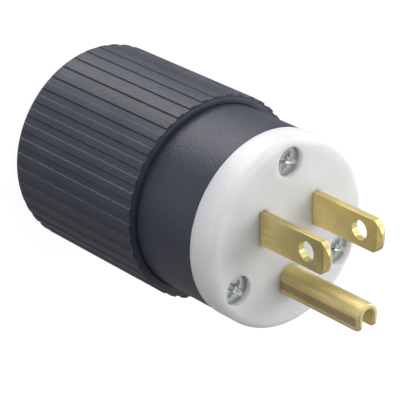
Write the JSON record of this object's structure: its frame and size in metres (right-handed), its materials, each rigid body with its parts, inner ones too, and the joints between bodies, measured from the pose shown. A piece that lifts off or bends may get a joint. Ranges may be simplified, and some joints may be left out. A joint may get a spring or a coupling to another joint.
{
  "type": "industrial plug",
  "caption": "Round straight-blade plug with a ribbed black grip, white face, flat brass blades, formed U ground pin and an open cord inlet at the rear.",
  "frame": {"origin": "middle of the flat cord end, on which the plug stands", "axes": "+Z along the axis from the cord end to the blades, +Y from the ground pin to the blades, -X at the hot blade and +X at the neutral blade"},
  "size_m": [0.04, 0.04, 0.0767],
  "materials": {
    "black_nylon": "fine matte",
    "white_nylon": "smooth satin",
    "brass": "satin, drawn",
    "zinc_steel": "bright zinc",
    "plate_steel": "zinc plated",
    "green_screw": "green dyed",
    "seal_rubber": "matte",
    "retainer_fibre": "matte"
  },
  "bodies": {
    "root": {"grip_shell": "black_nylon", "terminal_housing": "black_nylon", "face_cover": "white_nylon", "hot_blade": "brass", "neutral_blade": "brass", "ground_pin": "brass", "cord_seal": "seal_rubber", "cord_jaw_left": "black_nylon", "cord_jaw_right": "black_nylon", "hot_clamp_plate": "plate_steel", "neutral_clamp_plate": "plate_steel", "ground_clamp_plate": "plate_steel", "hot_terminal_screw": "brass", "neutral_terminal_screw": "zinc_steel", "ground_terminal_screw": "green_screw", "assembly_screw_1": "zinc_steel", "threaded_insert_1": "brass", "screw_retainer_1": "retainer_fibre", "assembly_screw_2": "zinc_steel", "threaded_insert_2": "brass", "screw_retainer_2": "retainer_fibre", "assembly_screw_3": "zinc_steel", "threaded_insert_3": "brass", "screw_retainer_3": "retainer_fibre"}
  },
  "joints": []
}
